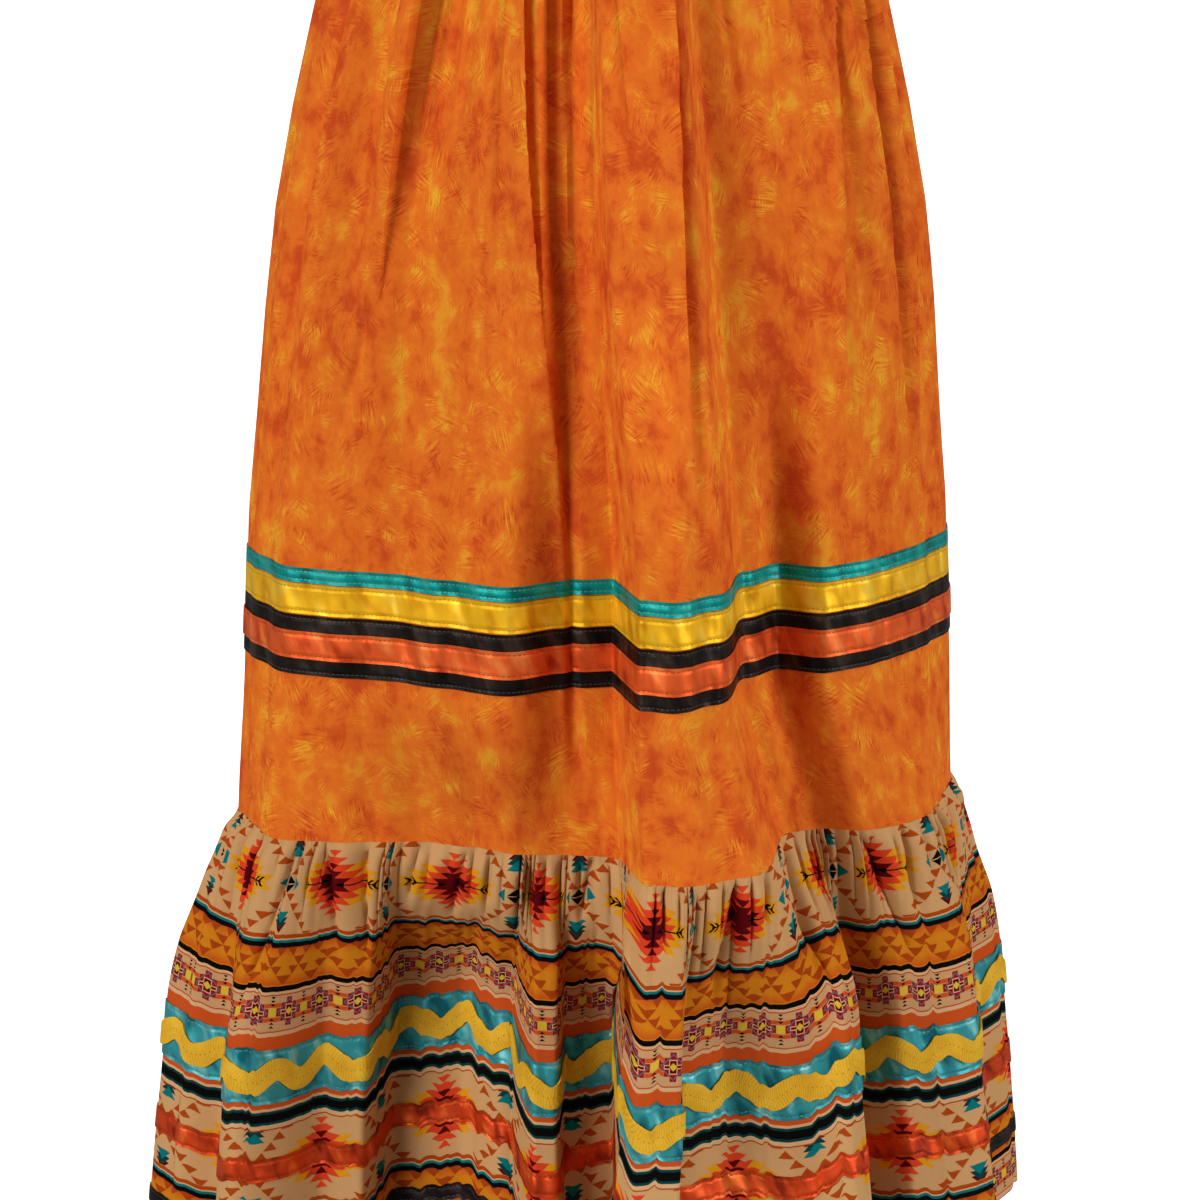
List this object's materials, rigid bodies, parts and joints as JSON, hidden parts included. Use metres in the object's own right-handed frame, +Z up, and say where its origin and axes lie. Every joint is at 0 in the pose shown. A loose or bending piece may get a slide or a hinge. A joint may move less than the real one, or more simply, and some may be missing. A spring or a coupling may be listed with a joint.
{
  "type": "ribbon skirt",
  "caption": "Long gathered cotton skirt with satin ribbons round its lower part and a printed, ribbon-trimmed ruffle at the hem, shaped as worn",
  "frame": {"origin": "centre of the waist, at half the waistband's height", "axes": "+Z up along the body, -Y the front of the skirt, +X the wearer's left"},
  "size_m": [0.6129, 0.435, 0.9773],
  "materials": {
    "orange_cotton": "mottled orange cotton, matt",
    "print_cotton": "cotton printed with geometric bands, matt",
    "teal_satin": "satin ribbon, teal",
    "yellow_satin": "satin ribbon, golden yellow",
    "black_satin": "satin ribbon, black",
    "orange_satin": "satin ribbon, burnt orange",
    "blue_teal_satin": "satin ribbon, blue teal",
    "yellow_braid": "woven ric-rac braid, yellow, matt"
  },
  "bodies": {
    "root": {"waistband": "orange_cotton", "panel_front": "orange_cotton", "panel_back": "orange_cotton", "ribbon_teal": "teal_satin", "ribbon_yellow": "yellow_satin", "ribbon_black": "black_satin", "ribbon_orange": "orange_satin", "flounce_front": "print_cotton", "flounce_back": "print_cotton", "flounce_ribbon_teal": "blue_teal_satin", "flounce_ribbon_orange": "orange_satin", "flounce_ribbon_black": "black_satin", "ric_rac": "yellow_braid"}
  },
  "joints": []
}
